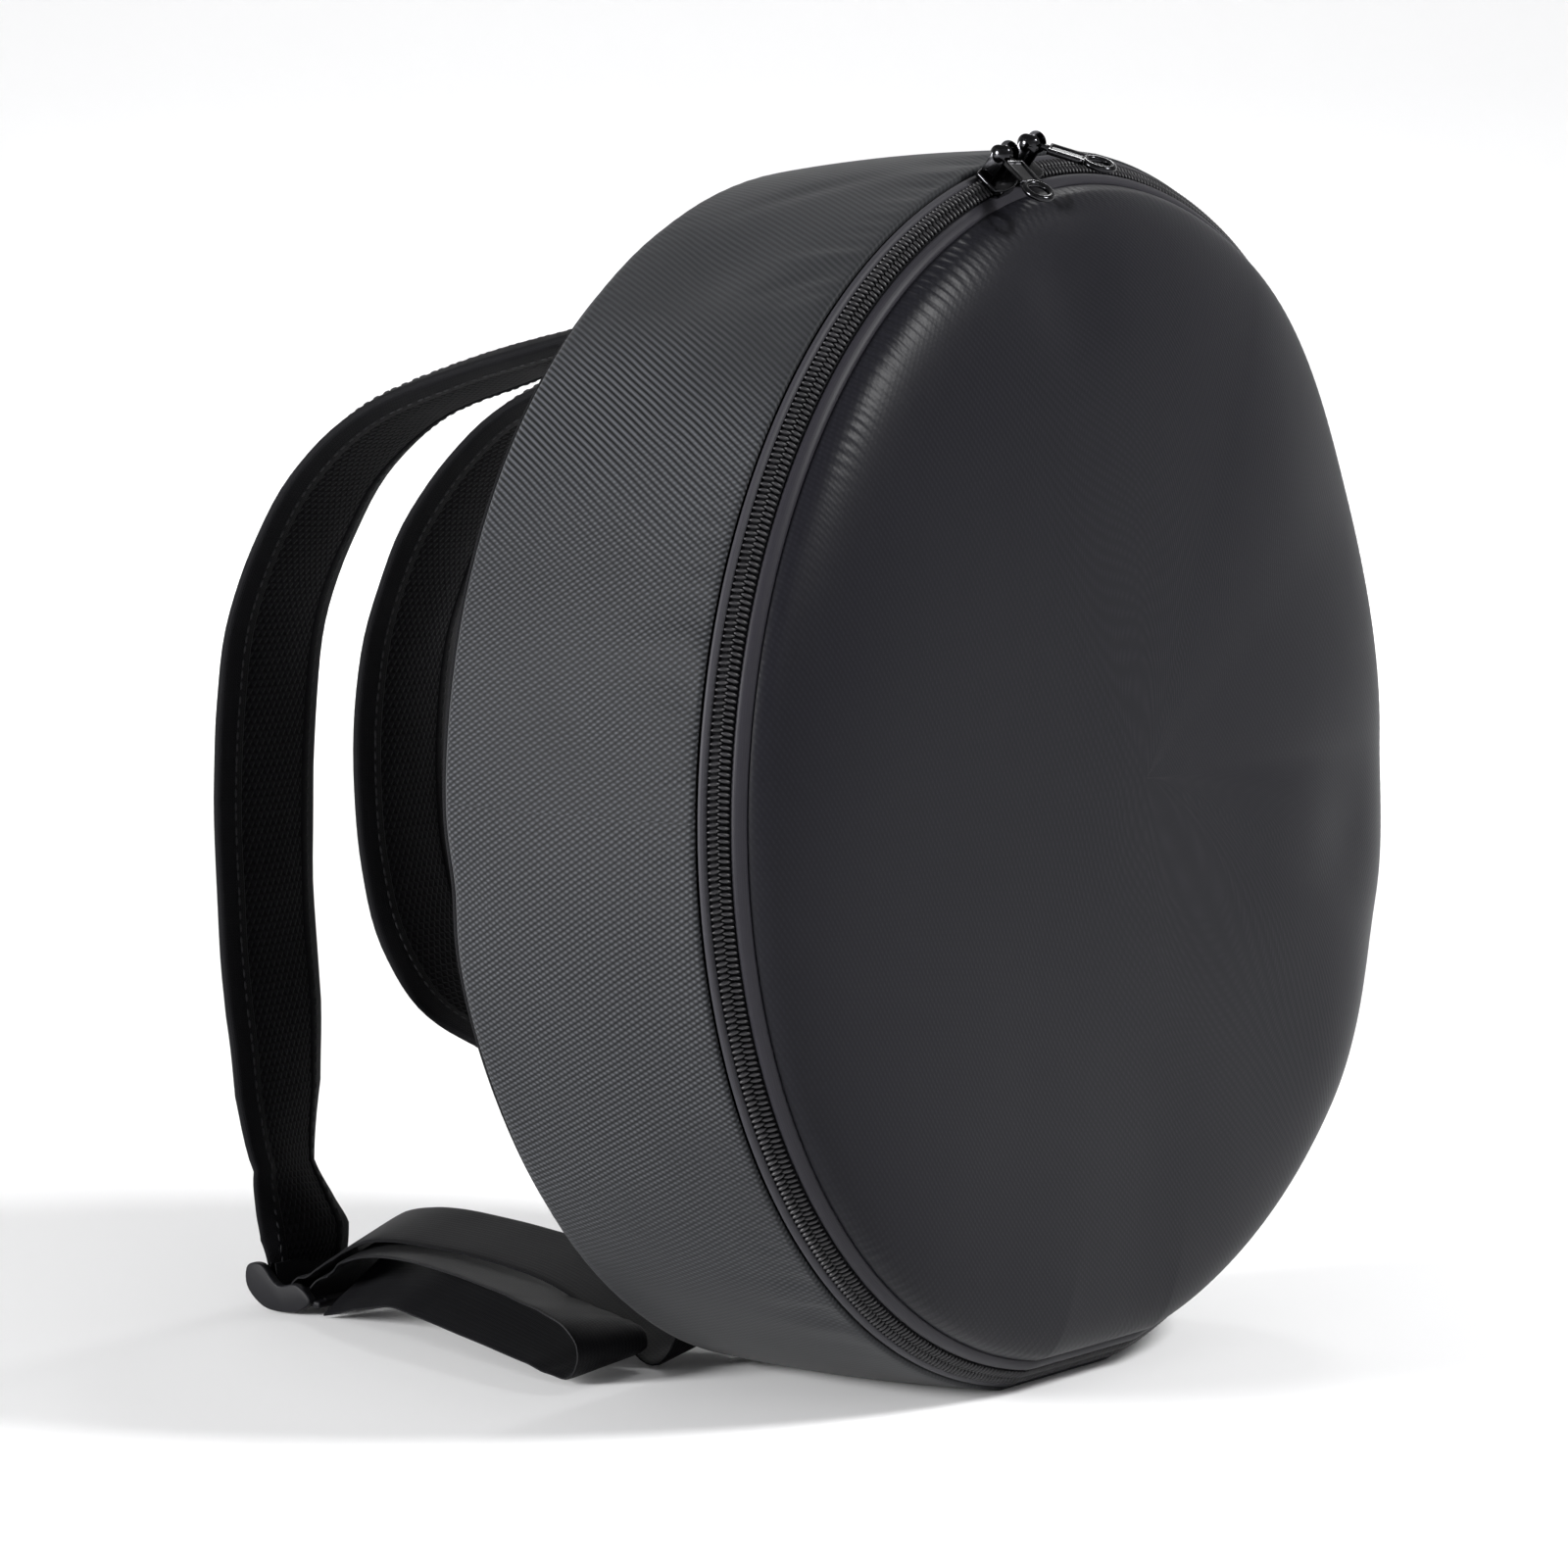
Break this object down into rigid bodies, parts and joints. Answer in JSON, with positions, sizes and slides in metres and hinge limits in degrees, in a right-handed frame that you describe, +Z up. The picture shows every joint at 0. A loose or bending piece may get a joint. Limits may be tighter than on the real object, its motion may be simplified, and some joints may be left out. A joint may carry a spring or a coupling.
{
  "type": "round drum backpack",
  "caption": "Round, drum-shaped backpack that stands on its rim, with a padded zipped front, a padded back and curved shoulder straps on ladder-lock buckles and webbing.",
  "frame": {"origin": "middle of the flat underside that the bag stands on", "axes": "+Z up, -Y out of the zipped front panel, +Y out of the back where the straps are, +X to the right as seen from the front"},
  "size_m": [0.4001, 0.3468, 0.4035],
  "materials": {
    "oxford": "ribbed oxford cloth",
    "panel_cloth": "padded oxford cloth, slightly bluish",
    "back_mesh": "padded spacer mesh",
    "zip_tape": "woven zip tape",
    "strap_cloth": "padded strap cloth with mesh inner face",
    "webbing": "polypropylene webbing",
    "zip_coil": "nylon coil",
    "buckle": "moulded plastic",
    "gunmetal": "polished black nickel"
  },
  "bodies": {
    "bag": {"gusset": "oxford", "front_panel": "panel_cloth", "back_panel": "back_mesh", "zip_tape_outer": "zip_tape", "zip_tape_inner": "zip_tape", "zip_coil": "zip_coil", "slider_left": "gunmetal", "slider_right": "gunmetal", "strap_near": "strap_cloth", "strap_tab_near": "webbing", "webbing_near": "webbing", "buckle_near": "buckle", "strap_far": "strap_cloth", "strap_tab_far": "webbing", "webbing_far": "webbing", "buckle_far": "buckle"},
    "pull_left": {"pull_left": "gunmetal"},
    "pull_right": {"pull_right": "gunmetal"}
  },
  "joints": [
    {"name": "pull_left_swing", "type": "hinge", "parent": "bag", "child": "pull_left", "pos_m": [-0.05022, -0.06236, 0.39596], "axis": [-0.9694, 0, -0.2453], "range_deg": [-32, 200]},
    {"name": "pull_right_swing", "type": "hinge", "parent": "bag", "child": "pull_right", "pos_m": [-0.03484, -0.06241, 0.39922], "axis": [-0.9854, 0, -0.1702], "range_deg": [-34, 200]}
  ]
}
